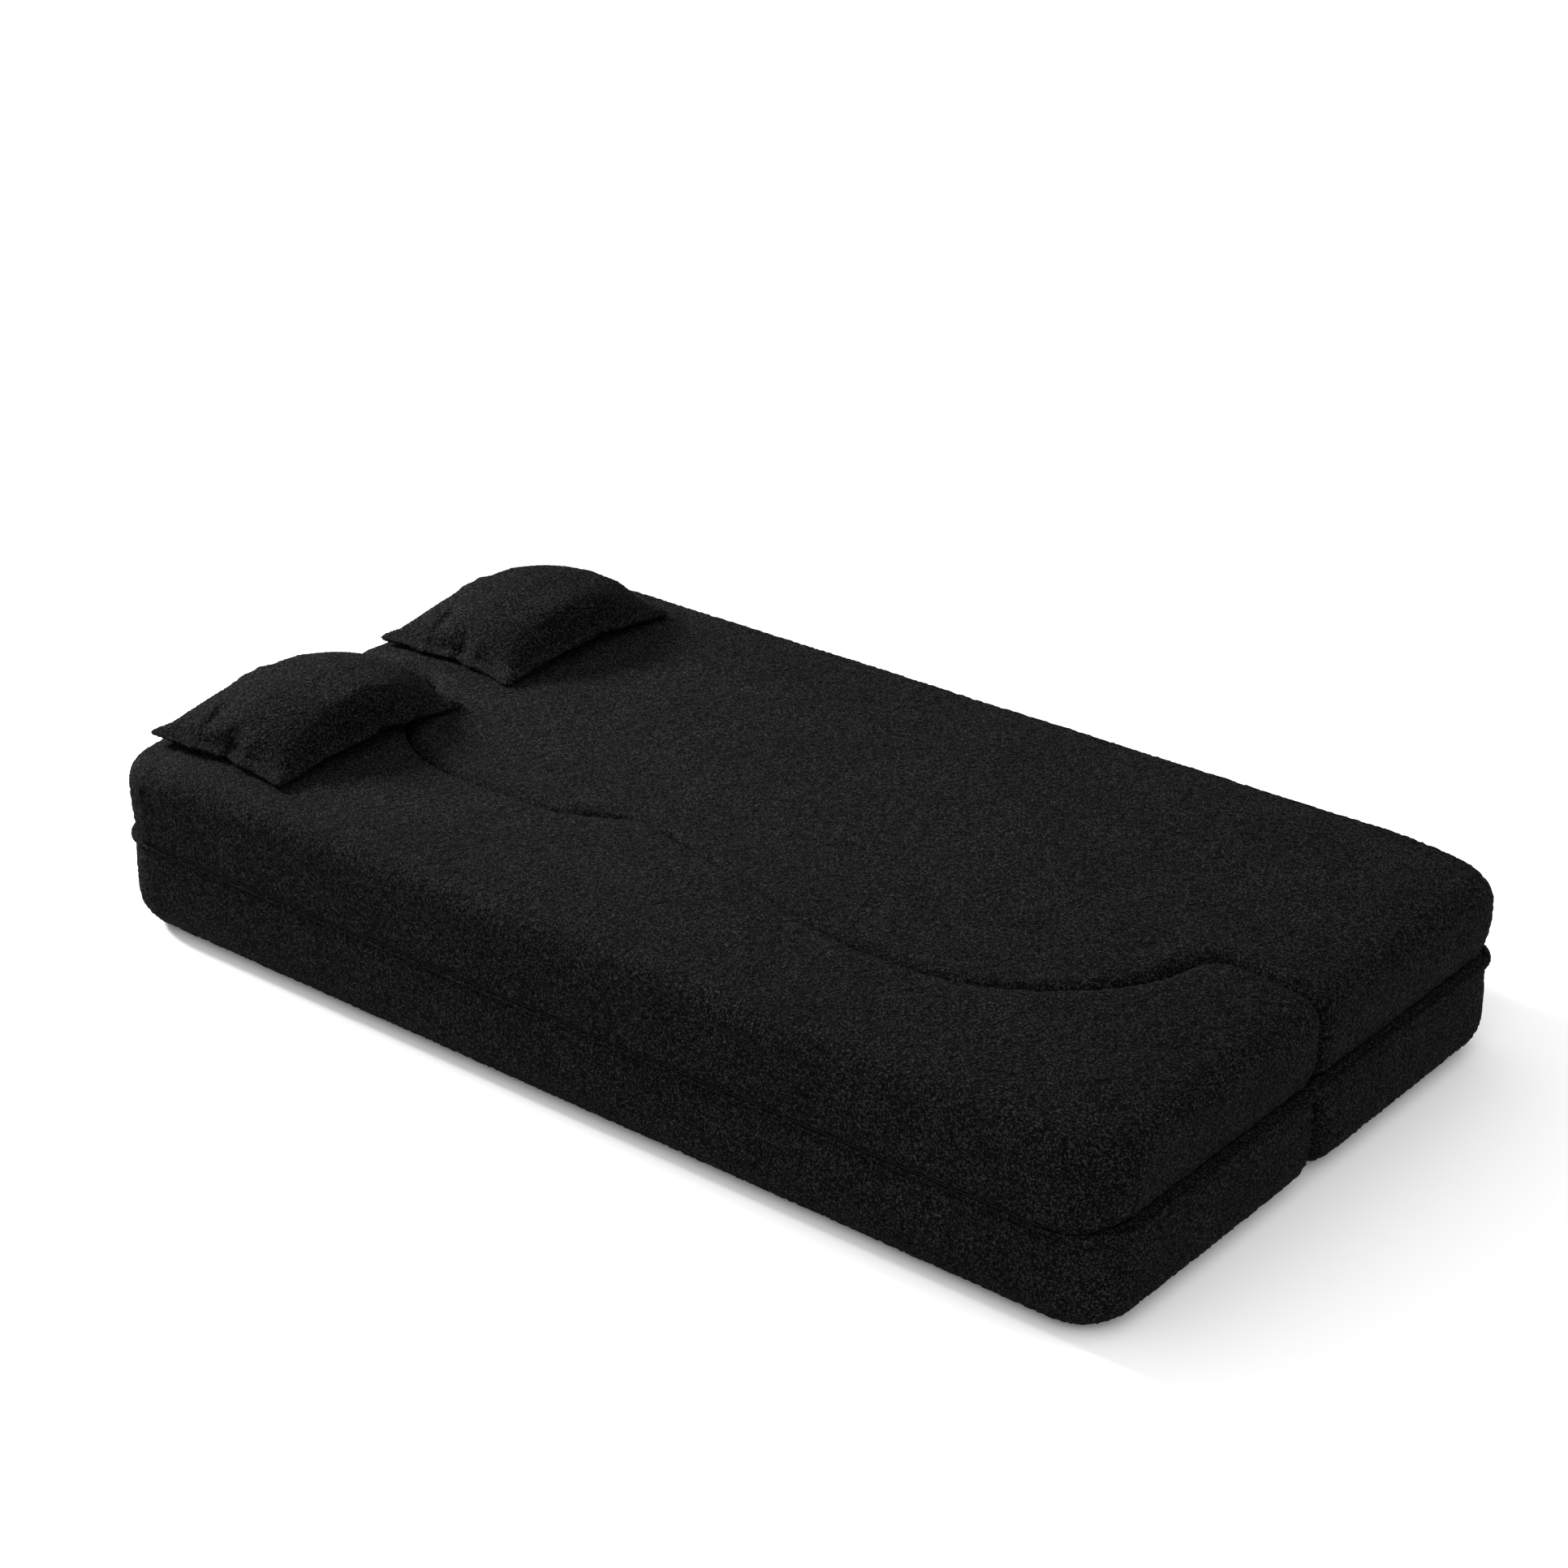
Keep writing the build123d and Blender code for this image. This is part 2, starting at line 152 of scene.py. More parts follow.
class FutonCushionSettings(bpy.types.PropertyGroup):
    """Sizes that shape the mattress cushions"""
    voxel: FloatProperty(name="Mesh size", description="Size of the cushions' mesh faces",
                         default=0.0052, unit="LENGTH")
    corner: FloatProperty(name="Corner radius", description="Plan radius of the mattress corners",
                          default=0.092, unit="LENGTH")
    crown: FloatProperty(name="Frame crown", description="Drop of the frame's top at its long sides",
                         default=0.006, unit="LENGTH")
    fullness: FloatProperty(name="Fullness", description="How far the middle of the top stands up",
                            default=0.003, unit="LENGTH")
    roll_run: FloatProperty(name="Edge roll", description="How far in from the edge the top rolls off",
                            default=0.15, unit="LENGTH")
    roll_drop: FloatProperty(name="Edge drop", description="How far the top has dropped at the edge",
                             default=0.015, unit="LENGTH")
    corner_drop: FloatProperty(name="Corner drop", description="Extra drop of the top at the corners",
                               default=0.016, unit="LENGTH")
    bulge: FloatProperty(name="Wall bulge", description="How far the end walls bulge at mid height",
                         default=0.004, unit="LENGTH")
    side_back: FloatProperty(name="Side setback", description="How far the side walls stand back",
                             default=0.0018, unit="LENGTH")
    groove: FloatProperty(name="Groove round", description="Round of the upper cushions' lower edge",
                          default=0.024, unit="LENGTH")
    ledge: FloatProperty(name="Ledge round", description="Round of the lower cushions' upper edge",
                         default=0.010, unit="LENGTH")
    wave: FloatProperty(name="Unevenness", description="Height of the soft waves in the padding",
                        default=0.002, unit="LENGTH")
    wave_size: FloatProperty(name="Unevenness size", description="Length of the soft waves",
                             default=0.24, unit="LENGTH")
    pile: FloatProperty(name="Pile", description="How far the looped pile stands out of its cloth",
                        default=0.0014, unit="LENGTH")
    curl: FloatProperty(name="End curl", description="How far the end walls curl in at the groove",
                        default=0.016, unit="LENGTH")
    curl_height: FloatProperty(name="Curl height", description="Height over which the end walls curl in",
                               default=0.075, unit="LENGTH")
    lip: FloatProperty(name="Lip round", description="Round of the lips along the wavy line",
                       default=0.030, unit="LENGTH")
    split_close: FloatProperty(name="Split close", description="How far each lip closes the split",
                               default=0.0013, unit="LENGTH")
    shut_close: FloatProperty(name="Shut close", description="How much further the lips close at mid length",
                              default=0.0026, unit="LENGTH")
    panel_recess: FloatProperty(name="Panel recess", description="Depth of the underside panels' bed",
                                default=0.003, unit="LENGTH")
    zip_recess: FloatProperty(name="Zip recess", description="Depth of the zips' placket",
                              default=0.0145, unit="LENGTH")


class FutonPillowSettings(bpy.types.PropertyGroup):
    """Sizes that shape the pillows"""
    cells: IntProperty(name="Mesh cells", description="Mesh faces along a pillow", default=60, min=8)
    voxel: FloatProperty(name="Mesh size", description="Size of the finished mesh faces",
                         default=0.003, unit="LENGTH")
    pressure: FloatProperty(name="Filling", description="Pressure of the filling", default=5.0)
    frames: IntProperty(name="Steps", description="Steps of the filling's swelling", default=16, min=2)
    under: FloatProperty(name="Seam height", description="Height of the seam above the bed",
                         default=0.016, unit="LENGTH")
    corner_droop: FloatProperty(name="Corner droop", description="How far the corners hang down",
                                default=0.004, unit="LENGTH")
    head_reach: FloatProperty(name="Head reach", description="How far the head edge's corners reach out",
                              default=0.030, unit="LENGTH")
    foot_reach: FloatProperty(name="Foot corner reach", description="How far the foot corners reach out",
                              default=0.013, unit="LENGTH")
    pinch: FloatProperty(name="Pinch", description="Depth of the crease by the near head corner",
                         default=0.007, unit="LENGTH")
    tuck: FloatProperty(name="Tuck", description="How far the far foot corner is tucked in",
                        default=0.026, unit="LENGTH")
    foot_arch: FloatProperty(name="Foot arch", description="How far the edge at the foot side arches up",
                             default=0.015, unit="LENGTH")
    over: FloatProperty(name="Crown", description="Height of the crown above the seam",
                        default=0.074, unit="LENGTH")
    peak: FloatProperty(name="Peak", description="How much the filling gathers in the middle", default=0.64)
    foot_peak: FloatProperty(name="Foot peak", description="The same for the side that slopes to the foot",
                             default=0.85)
    tight: FloatProperty(name="Tightness", description="Share of the swollen form in the pillow's crown",
                         default=0.18, subtype="FACTOR", min=0, max=1)
    ironing: IntProperty(name="Ironing", description="Smoothing of the cover's wrinkles", default=6, min=0)
    draw: FloatProperty(name="Side draw", description="How far the sides pull in between the corners",
                        default=0.004, unit="LENGTH")
    flange: FloatProperty(name="Flange", description="Width of the sewn edge", default=0.012,
                          unit="LENGTH")
    flange_droop: FloatProperty(name="Flange droop", description="How far the sewn edge hangs down",
                                default=0.007, unit="LENGTH")
    flange_thickness: FloatProperty(name="Flange thickness", description="Thickness of the sewn edge",
                                    default=0.0075, unit="LENGTH")


class FutonColourSettings(bpy.types.PropertyGroup):
    """Colours of the cloths and fittings, with the painted shade in the bouclé's hollows"""
    pile: FloatVectorProperty(name="Bouclé", description="Colour of the looped pile",
                              subtype="COLOR", default=(0.0265, 0.0265, 0.0274), min=0, max=1)
    # Painted shade: the hollows between the pile's loops are darkened in colour, standing in for the shade
    # that falls there
    painted_hollow_shade: FloatVectorProperty(name="Bouclé hollows", description="Colour between the loops",
                                subtype="COLOR", default=(0.0012, 0.0012, 0.0013), min=0, max=1)
    lining: FloatVectorProperty(name="Lining", description="Colour of the plain lining",
                                subtype="COLOR", default=(0.005, 0.005, 0.0054), min=0, max=1)
    metal: FloatVectorProperty(name="Zip metal", description="Colour of the lacquered zip sliders",
                               subtype="COLOR", default=(0.02, 0.02, 0.022), min=0, max=1)
    floor: FloatVectorProperty(name="Floor", description="Colour of the studio floor",
                               subtype="COLOR", default=(0.95, 0.95, 0.95), min=0, max=1)


class FutonStageSettings(bpy.types.PropertyGroup):
    """Camera and light of the studio"""
    lens: FloatProperty(name="Lens", description="Focal length for a 36 mm frame", default=73.563,
                        unit="CAMERA")
    azimuth: FloatProperty(name="Azimuth", description="Camera's turn round the mattress",
                           default=math.radians(39.4394), subtype="ANGLE")
    elevation: FloatProperty(name="Elevation", description="Camera's angle above the floor",
                             default=math.radians(25.2284), subtype="ANGLE")
    distance: FloatProperty(name="Distance", description="Camera's distance from its target",
                            default=5.9236, unit="LENGTH")
    target: FloatVectorProperty(name="Target", description="Point on the floor in mid frame",
                                subtype="XYZ", default=(-0.4702, 0.5695, 0.0))
    key: FloatProperty(name="Key light", description="Power of the low beam from the head",
                       default=30.0, unit="POWER")
    spread: FloatProperty(name="Key spread", description="Angle over which the beam fans out",
                          default=math.radians(46), subtype="ANGLE")
    sky: FloatProperty(name="Sky light", description="Strength of the even light", default=1.06)
    fill: FloatProperty(name="Fill light", description="Power of the large light by the foot",
                        default=33.0, unit="POWER")


# Mesh helpers

def points_of(mesh):
    """The mesh's points as an array."""
    flat = np.empty(len(mesh.vertices) * 3, np.float32)
    mesh.vertices.foreach_get("co", flat)
    return flat.reshape(-1, 3).astype(float)


def set_points(mesh, points):
    """Moves the mesh's points to the array's places."""
    mesh.vertices.foreach_set("co", points.astype(np.float32).ravel())
    mesh.update()


def normals_of(mesh):
    """The mesh's point normals as an array."""
    flat = np.empty(len(mesh.vertices) * 3, np.float32)
    mesh.vertex_normals.foreach_get("vector", flat)
    return flat.reshape(-1, 3).astype(float)


def smoothstep(low, high, value):
    """0 at low, 1 at high and an even rise between them."""
    t = np.clip((value - low) / (high - low), 0, 1)
    return t * t * (3 - 2 * t)


def activate(obj):
    """Makes obj the only selected object."""
    bpy.ops.object.select_all(action="DESELECT")
    obj.select_set(True)
    bpy.context.view_layer.objects.active = obj


def node_copy(node, name):
    """A merged copy of a CAD node's mesh, as a new object."""
    obj = bpy.data.objects.new(name, frame["nodes"][node].data.copy())
    bpy.context.collection.objects.link(obj)
    activate(obj)
    bpy.ops.object.mode_set(mode="EDIT")
    bpy.ops.mesh.select_all(action="SELECT")
    bpy.ops.mesh.remove_doubles(threshold=1e-5)
    bpy.ops.object.mode_set(mode="OBJECT")
    return obj


def remesh(obj, voxel):
    """Covers obj with even faces of the voxel's size."""
    activate(obj)
    obj.data.remesh_voxel_size = voxel
    obj.data.remesh_voxel_adaptivity = 0
    bpy.ops.object.voxel_remesh()
    bpy.ops.object.shade_smooth()


def apply_modifier(obj, kind, **settings):
    """Adds a modifier with these settings and applies it."""
    activate(obj)
    modifier = obj.modifiers.new(kind.title(), kind)
    for key, value in settings.items():
        setattr(modifier, key, value)
    bpy.ops.object.modifier_apply(modifier=modifier.name)


def new_grid(columns, rows):
    """A flat grid from -1 to 1 in X and Y."""
    bpy.ops.object.select_all(action="DESELECT")
    bpy.ops.mesh.primitive_grid_add(x_subdivisions=columns, y_subdivisions=rows, size=2)
    return bpy.context.active_object


def strip_of_rows(name, rows, closed, thickness):
    """A cloth strip through rows of points, closed to a loop or open."""
    count = len(rows[0])
    steps = count if closed else count - 1
    faces = [(row * count + i, row * count + (i + 1) % count,
              (row + 1) * count + (i + 1) % count, (row + 1) * count + i)
             for row in range(len(rows) - 1) for i in range(steps)]
    mesh = bpy.data.meshes.new(name)
    mesh.from_pydata(np.concatenate(rows).tolist(), [], faces)
    obj = bpy.data.objects.new(name, mesh)
    bpy.context.collection.objects.link(obj)
    apply_modifier(obj, "SOLIDIFY", thickness=thickness, offset=0)
    return obj


def join(obj, others):
    """Joins the others to obj."""
    activate(obj)
    for other in others:
        other.select_set(True)
    bpy.ops.object.join()


def finish_piece(obj, name, body, material, slot, *nodes):
    """Gives a piece its name and material, and sets it on its body; the slot is not used."""
    obj.name = name
    obj.data.name = name
    obj.data.materials.clear()
    obj.data.materials.append(material)
    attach(obj, body)
    if nodes:
        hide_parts(*nodes)
    return obj


# Shape helpers

def outline(points, corner):
    """How far inside the mattress outline each point is, and the way out of it in X and Y."""
    ax = np.abs(points[:, 0]) - (HALF_LENGTH - corner)
    ay = np.abs(points[:, 1]) - (HALF_WIDTH - corner)
    outside = np.hypot(np.maximum(ax, 0), np.maximum(ay, 0))
    inside = corner - outside - np.minimum(np.maximum(ax, ay), 0)
    out = np.stack([np.where(ax > ay, 1.0, 0.0), np.where(ax > ay, 0.0, 1.0)], 1)
    round_part = outside > 1e-9
    out[round_part, 0] = (np.maximum(ax, 0)[round_part]) / outside[round_part]
    out[round_part, 1] = (np.maximum(ay, 0)[round_part]) / outside[round_part]
    return inside, out * np.sign(points[:, :2])


def soft_waves(points, size, seed):
    """Soft waves of about that size, between -1 and 1."""
    shift = Vector((seed * 3.7, seed * 1.3, seed * 5.1))
    return np.array([noise.noise(Vector(p) / size + shift) for p in points])


def add_pile(obj, height, seed):
    """Pushes each point out or in by a little, as the loops of the pile do."""
    lift = np.random.RandomState(seed).uniform(-1, 1, len(obj.data.vertices))[:, None]
    set_points(obj.data, points_of(obj.data) + normals_of(obj.data) * lift * height)


def roll_top(points, cushion):
    """Raises the top's middle and rolls its outer edges and corners off softly."""
    inside, _ = outline(points, cushion.corner)
    high = smoothstep(UPPER_BOTTOM + ROLL_FROM, UPPER_TOP - ROLL_FULL, points[:, 2])
    edge = 1 - np.clip(inside / cushion.roll_run, 0, 1)
    lift = cushion.fullness + cushion.crown * (points[:, 1] / HALF_WIDTH) ** 2
    corner = (smoothstep(HALF_LENGTH - CORNER_REACH, HALF_LENGTH, np.abs(points[:, 0]))
              * smoothstep(HALF_WIDTH - CORNER_REACH, HALF_WIDTH, np.abs(points[:, 1])))
    points[:, 2] += high * (lift - cushion.roll_drop * edge ** 2 - cushion.corner_drop * corner)


def squared(u, v, squareness):
    """Share by which a point of a round edge moves out as the round is squared up."""
    return np.hypot(u, v) / (u ** squareness + v ** squareness) ** (1 / squareness) - 1


def square_edge(points, cushion, level, radius, weight):
    """Squares up a round edge of the outer wall, at a bottom or top level, by a weight."""
    inside, out = outline(points, cushion.corner)
    up = 1 if level > (UPPER_BOTTOM + LOWER_TOP) / 2 else -1
    u = 1 - inside / radius
    v = 1 - up * (points[:, 2] - level) / radius
    near = (u > 0) & (v > 0) & (np.hypot(u, v) < EDGE_LIMIT)
    u, v = np.clip(u, 1e-6, 1), np.clip(v, 1e-6, 1)
    amount = np.where(near, weight(np.abs(out[:, 1])), 0) * radius * squared(u, v, EDGE_SQUARENESS)
    points[:, :2] += out * (amount * u)[:, None]
    points[:, 2] -= up * amount * v


def sewn_side(sideways):
    """1 along the sewn long sides and 0 at the ends."""
    return smoothstep(SEWN_FROM, SEWN_FULL, sideways)


def side_wall(points, cushion):
    """1 on the sewn long side walls and 0 elsewhere."""
    inside, out = outline(points, cushion.corner)
    return sewn_side(np.abs(out[:, 1])) * smoothstep(WALL_DEPTH, WALL_SKIN, inside)


def close_wave(points, normals, cushion, sharpness):
    """Draws the two upper cushions together along the wavy line and squares up their lips."""
    inside, _ = outline(points, cushion.corner)
    mid = (UPPER_BOTTOM + UPPER_TOP) / 2
    wall = np.flatnonzero((inside > WALL_DEPTH) & (np.abs(normals[:, 2]) < UPRIGHT)
                          & (np.abs(points[:, 2] - mid) < 2 * cushion.voxel))
    tree = kdtree.KDTree(len(wall))
    for index, at in enumerate(wall):
        tree.insert((points[at, 0], points[at, 1], 0), index)
    tree.balance()
    reach = cushion.lip + LIP_SPARE
    band = (inside > LIP_SPARE) & (points[:, 1] > points[wall, 1].min() - reach) \
        & (points[:, 1] < points[wall, 1].max() + reach)
    for at in np.flatnonzero(band):
        place, index, distance = tree.find((points[at, 0], points[at, 1], 0))
        if distance > reach:
            continue
        out = normals[wall[index], :2] / np.linalg.norm(normals[wall[index], :2])
        deep = float(np.dot(np.array(place[:2]) - points[at, :2], out))
        shut = smoothstep(*SHUT_FROM, points[at, 0]) * smoothstep(*SHUT_TO, points[at, 0])
        end = smoothstep(*LIP_END, abs(points[at, 0]))
        top = UPPER_TOP - cushion.crown * (points[at, 1] / HALF_WIDTH) ** 2
        u = min(max(1 - deep / cushion.lip, 1e-6), 1)
        v = min(max(1 - (top - points[at, 2]) / cushion.lip, 1e-6), 1)
        grow = squared(u, v, LIP_SQUARENESS + end * (sharpness + SHUT_SQUARENESS * shut))
        close = cushion.split_close * (END_CLOSE + (1 - END_CLOSE) * end) + cushion.shut_close * shut
        close *= 1 - max(deep, 0) / reach
        points[at, :2] += out * (cushion.lip * u * grow + close)
        points[at, 2] += cushion.lip * v * grow


def square_split(points, side, radius, squareness):
    """Squares up the rounded corners where the middle split meets the ends."""
    u = (np.abs(points[:, 0]) - (HALF_LENGTH - radius)) / radius
    v = (SPLIT_GAP + radius - side * points[:, 1]) / radius
    at = (u > 1e-6) & (v > 1e-6) & (v < SPLIT_LIMIT)
    u, v = u[at], v[at]
    grow = squared(u, v, squareness)
    points[at, 0] += np.sign(points[at, 0]) * radius * u * grow
    points[at, 1] -= side * radius * v * grow


def pad_out(obj, points, cushion, seed, fade):
    """Gives obj its points with the padding's soft waves, which are calmer on the side walls."""
    set_points(obj.data, points)
    waves = soft_waves(points, cushion.wave_size, seed) * cushion.wave * fade
    waves *= 1 - SIDE_CALM * side_wall(points, cushion)
    points += normals_of(obj.data) * waves[:, None]


def open_groove(points, cushion):
    """Curls the upper cushions' lower edge in at the ends, so the ledge below it shows."""
    inside, out = outline(points, cushion.corner)
    curl = np.clip(1 - (points[:, 2] - UPPER_BOTTOM) / cushion.curl_height, 0, 1) ** 2
    end = 1 - sewn_side(np.abs(out[:, 1]))
    points[:, :2] -= out * (cushion.curl * curl * end * smoothstep(GROOVE_DEPTH, 0.0, inside))[:, None]


def add_facing(welt, cushion):
    """Joins to the welt the strip that carries it, which lies on the sheet and shows in the end grooves."""
    along = HALF_WIDTH - cushion.corner
    bend = np.linspace(0, FACING_TURN, FACING_BEND_POINTS)
    straight = np.linspace(-along, along, FACING_STRAIGHT_POINTS)[1:-1]
    rows = []
    for inside, height in FACING_PROFILE:
        radius = cushion.corner - inside
        bent = HALF_LENGTH - cushion.corner + radius * np.cos(bend)
        x = np.concatenate([bent[::-1], np.full(len(straight), HALF_LENGTH - inside), bent])
        y = np.concatenate([-along - radius * np.sin(bend[::-1]), straight, along + radius * np.sin(bend)])
        z = np.full(len(x), JOINT_HEIGHT + height)
        rows.append(np.stack([x, y, z], 1))
    join(welt, [strip_of_rows("facing", [row * (end, 1, 1) for row in rows], False, FACING_THICKNESS)
                for end in (1, -1)])


def bulge_walls(points, cushion, low, high):
    """Rounds the end walls out at mid height; sets back the side walls, which meet when unfolded."""
    inside, out = outline(points, cushion.corner)
    arch = np.sin(np.pi * np.clip((points[:, 2] - low) / (high - low), 0, 1))
    amount = cushion.bulge * np.abs(out[:, 0]) * arch - cushion.side_back * sewn_side(np.abs(out[:, 1]))
    points[:, :2] += out * (amount * smoothstep(WALL_DEPTH, OUTER_SKIN, inside))[:, None]


def sink_zip(points, cushion, node):
    """Presses the placket of a zip into the head end."""
    low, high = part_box(node)
    soft, spare = PLACKET_SOFT, PLACKET_SPARE
    across = (smoothstep(low.z - soft, low.z, points[:, 2])
              * smoothstep(high.z + soft, high.z, points[:, 2]))
    along = (smoothstep(low.y - spare - soft, low.y - spare, points[:, 1])
             * smoothstep(high.y + spare + soft, high.y + spare, points[:, 1]))
    at_head = smoothstep(-HALF_LENGTH + WALL_DEPTH, -HALF_LENGTH + WALL_SKIN, points[:, 0])
    points[:, 0] += cushion.zip_recess * across * along * at_head


def sink_panel(points, cushion, node, bottom):
    """Presses the bed of an underside panel into a cushion."""
    low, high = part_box(node)
    within = np.ones(len(points))
    for axis in (0, 1):
        within *= smoothstep(low[axis] - PANEL_SOFT, low[axis], points[:, axis])
        within *= smoothstep(high[axis] + PANEL_SOFT, high[axis], points[:, axis])
    under = smoothstep(bottom + PANEL_REACH, bottom + PANEL_SOFT, points[:, 2])
    points[:, 2] += cushion.panel_recess * within * under


def bed_height(points, cushion):
    """Height of the cushions' top under each point."""
    inside, _ = outline(points, cushion.corner)
    edge = 1 - np.clip(inside / cushion.roll_run, 0, 1)
    return UPPER_TOP + cushion.fullness - cushion.roll_drop * edge ** 2


def filled_slab(pillow, half):
    """A slab swollen by its filling, the loop of its seam and each point's share of the way out."""
    obj = new_grid(round(pillow.cells * half[0] / half[1]), pillow.cells)
    obj.scale = (half[0], half[1], 1)
    bpy.ops.object.transform_apply(scale=True)
    apply_modifier(obj, "SOLIDIFY", thickness=PILLOW_SLAB, offset=0)
    flat = points_of(obj.data)
    on_rim = np.flatnonzero((np.abs(flat[:, :2]) > half - 1e-4).any(1))
    on_rim = on_rim[np.argsort(np.arctan2(flat[on_rim, 1], flat[on_rim, 0]), kind="stable")]
    upper, lower = on_rim[flat[on_rim, 2] > 0], on_rim[flat[on_rim, 2] < 0]
    swell(obj, pillow)
    points = points_of(obj.data)
    points[:, 2] -= points[on_rim, 2].mean()
    share = flat[:, :2] / half
    for axis in (0, 1):
        along = 1 - axis
        ends = on_rim[np.abs(share[on_rim, axis]) > 0.999]
        ends = ends[np.argsort(share[ends, along], kind="stable")]
        now = np.interp(share[:, along], share[ends, along], np.abs(points[ends, axis]))
        points[:, axis] *= (half[axis] - pillow.draw * (1 - share[:, along] ** 2)) / now
    set_points(obj.data, points)
    return obj, (points[upper] + points[lower]) / 2, share


def swell(obj, pillow):
    """Blows a slab up with cloth under pressure and keeps the result."""
    cloth = obj.modifiers.new("Filling", "CLOTH")
    settings = cloth.settings
    settings.quality = 6
    settings.mass = 0.3
    settings.tension_stiffness = 15
    settings.compression_stiffness = 15
    settings.shear_stiffness = 5
    settings.bending_stiffness = 4
    settings.use_pressure = True
    settings.uniform_pressure_force = pillow.pressure
    settings.effector_weights.gravity = 0
    cloth.point_cache.frame_end = pillow.frames
    for step in range(1, pillow.frames + 1):
        bpy.context.scene.frame_set(step)
    activate(obj)
    bpy.ops.object.modifier_apply(modifier=cloth.name)
    bpy.context.scene.frame_set(1)


def add_flange(obj, seam, pillow, seed):
    """Sews a flat edge round a pillow's seam and joins it to the pillow."""
    along = np.roll(seam, -1, 0) - np.roll(seam, 1, 0)
    out = np.stack([along[:, 1], -along[:, 0], np.zeros(len(seam))], 1)
    out /= np.linalg.norm(out, axis=1)[:, None]
    ripple = FLANGE_RIPPLE * soft_waves(seam, FLANGE_RIPPLE_SIZE, seed)
    outer = seam + out * pillow.flange
    outer[:, 2] += ripple - pillow.flange_droop
    rows = [seam - out * FLANGE_OVERLAP, seam, outer]
    join(obj, [strip_of_rows("flange", rows, True, pillow.flange_thickness)])


def raise_crown(points, share, pillow):
    """Sets a swollen slab's heights: mostly a slack dome above the seam, and a flatter one below it."""
    above = points[:, 2] > 0
    full = np.abs(points[:, 2]) / np.where(above, points[:, 2].max(), -points[:, 2].min())
    bow = np.clip(1 - share ** 2, 0, 1)
    bow[:, 0] **= np.where(share[:, 0] > 0, pillow.foot_peak, pillow.peak)
    slack = bow[:, 0] * bow[:, 1] ** pillow.peak
    rise = pillow.tight * full + (1 - pillow.tight) * slack
    points[:, 2] = np.where(above, pillow.over * rise, -UNDER_DEPTH * pillow.under * rise ** UNDER_FLATNESS)


def slump(points, half, pillow):
    """Reaches out, pinches, tucks, arches and droops a pillow's edges and corners, as it lies in use."""
    reach = np.clip(np.abs(points[:, :2]) / (half + pillow.flange), 0, 1)
    foot = smoothstep(FOOT_START, 1.0, points[:, 0] / half[0])
    head = smoothstep(0.0, 1.0, -points[:, 0] / half[0])
    tip = reach[:, 0] * reach[:, 1]
    points[:, 0] -= pillow.head_reach * head * (HEAD_EDGE + (1 - HEAD_EDGE) * reach[:, 1] ** 4)
    points[:, 1] += np.sign(points[:, 1]) * pillow.foot_reach * tip ** 4 * foot
    crease = (((points[:, :2] + half * PINCH_PLACE) / PINCH_SIZE) ** 2).sum(1)
    points[:, 2] -= pillow.pinch * np.exp(-crease) * (points[:, 2] > 0)
    points[:, 1] -= pillow.tuck * foot * smoothstep(FOOT_START, 1.0, points[:, 1] / half[1])
    points[:, 2] += pillow.foot_arch * foot * (1 - reach[:, 1] ** 2)
    points[:, 2] -= pillow.corner_droop * tip ** 3


# Zip helpers

def block(name, middle, size, bevel):
    """A small bevelled block."""
    bpy.ops.object.select_all(action="DESELECT")
    bpy.ops.mesh.primitive_cube_add(size=1, location=middle)
    obj = bpy.context.active_object
    obj.name = name
    obj.scale = size
    bpy.ops.object.transform_apply(location=True, scale=True)
    bpy.ops.object.mode_set(mode="EDIT")
    bpy.ops.mesh.select_all(action="SELECT")
    bpy.ops.mesh.bevel(offset=bevel, segments=1, affect="EDGES")
    bpy.ops.object.mode_set(mode="OBJECT")
    return obj


def row_of(obj, count, step):
    """Repeats a block along Y."""
    apply_modifier(obj, "ARRAY", count=count, use_relative_offset=False, use_constant_offset=True,
                   constant_offset_displace=(0, step, 0))


def zip_tape(middle, half, front):
    """Woven tape with raised edges and two rows of stitches."""
    tape = new_grid(columns=90, rows=10)
    points = points_of(tape.data)
    thickness, raised_edge, edge_from = 0.0008, 0.0003, 0.9
    edge = np.abs(points[:, 1]) > edge_from
    points = np.stack([front + thickness / 2 - raised_edge * edge, middle.y + half.y * points[:, 0],
                       middle.z + half.z * points[:, 1]], 1)
    set_points(tape.data, points)
    apply_modifier(tape, "SOLIDIFY", thickness=thickness, offset=0)
    bpy.ops.object.shade_smooth_by_angle(angle=CREASE_ANGLE)
    thread, stitch, step = 0.0007, 0.0026, 0.0040
    proud, margin, from_middle, bevel, bare_ends = 0.0002, 0.007, 0.62, 0.0002, 0.01
    rows = []
    for side in (-1, 1):
        start = (front - proud, middle.y - half.y + margin, middle.z + side * half.z * from_middle)
        row = block("stitches", start, (thread, stitch, thread), bevel)
        row_of(row, int((2 * half.y - bare_ends) / step), step)
        rows.append(row)
    join(tape, rows)
    return tape


def zip_coil(middle, length, tape_front, coil_front):
    """The closed coil's teeth, side by side along the tape."""
    step, tooth, width, bevel, bare_ends = 0.0016, 0.0011, 0.0056, 0.0003, 0.004
    count = int((length - bare_ends) / step)
    start = ((tape_front + coil_front) / 2, middle.y - step * (count - 1) / 2, middle.z)
    coil = block("coil", start, (tape_front - coil_front, tooth, width), bevel)
    row_of(coil, count, step)
    return coil


# Materials

def new_material(name):
    """A material with its node tree and its Principled shader."""
    material = bpy.data.materials.new(name)
    material.use_nodes = True
    return material, material.node_tree, material.node_tree.nodes["Principled BSDF"]


def own_coordinates(tree):
    """The coordinates of the piece that a material is on."""
    return tree.nodes.new("ShaderNodeTexCoord").outputs["Object"]


